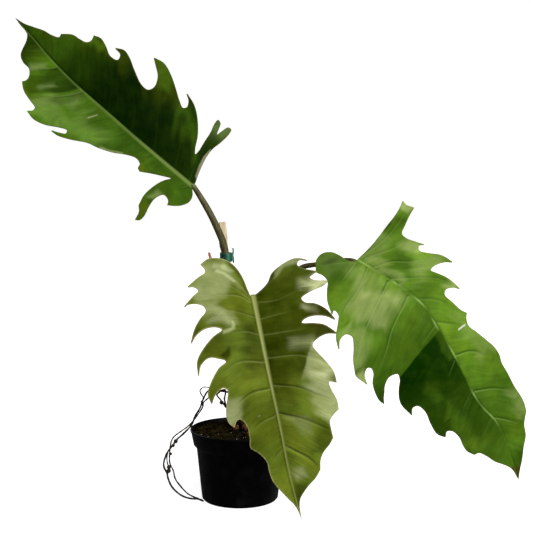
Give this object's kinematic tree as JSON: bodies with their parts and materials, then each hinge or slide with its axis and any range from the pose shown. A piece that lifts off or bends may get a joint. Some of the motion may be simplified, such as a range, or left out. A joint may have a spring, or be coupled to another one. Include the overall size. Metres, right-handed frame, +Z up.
{
  "type": "potted philodendron",
  "caption": "Potted house plant with large toothed, lobed leaves on long stalks, tied to a short stake in a round nursery pot.",
  "frame": {"origin": "centre of the pot's flat underside, on the surface that it stands on", "axes": "+Z up; the leaves show their upper sides towards -Y, with +X to the right of that view"},
  "size_m": [0.6079, 0.2055, 0.5731],
  "materials": {
    "pot_plastic": "moulded black plastic with a faint grey sheen",
    "potting_soil": "dark crumbly potting soil",
    "husk": "rough coco husk",
    "stem_skin": "dull green-brown stem",
    "bamboo": "pale cut cane",
    "stalk_skin": "smooth grey-brown leaf stalk",
    "sheath_skin": "thin pinkish dry sheath",
    "tie_plastic": "thin teal plastic band",
    "root_skin": "dark dry root",
    "upper_leaf": "dark green leaf with a satin face",
    "front_leaf": "olive to bronze-green leaf with a satin face",
    "right_leaf": "bright green leaf with a satin face"
  },
  "bodies": {
    "root": {"pot": "pot_plastic", "soil": "potting_soil", "husk_chunk_1": "husk", "husk_chunk_2": "husk", "husk_chunk_3": "husk", "husk_chunk_4": "husk", "stem": "stem_skin", "stake": "bamboo", "stalk_upper": "stalk_skin", "stalk_front": "stalk_skin", "stalk_right": "stalk_skin", "sheath": "sheath_skin", "tie": "tie_plastic", "aerial_roots": "root_skin", "leaf_upper": "upper_leaf", "leaf_front": "front_leaf", "leaf_right": "right_leaf"}
  },
  "joints": []
}
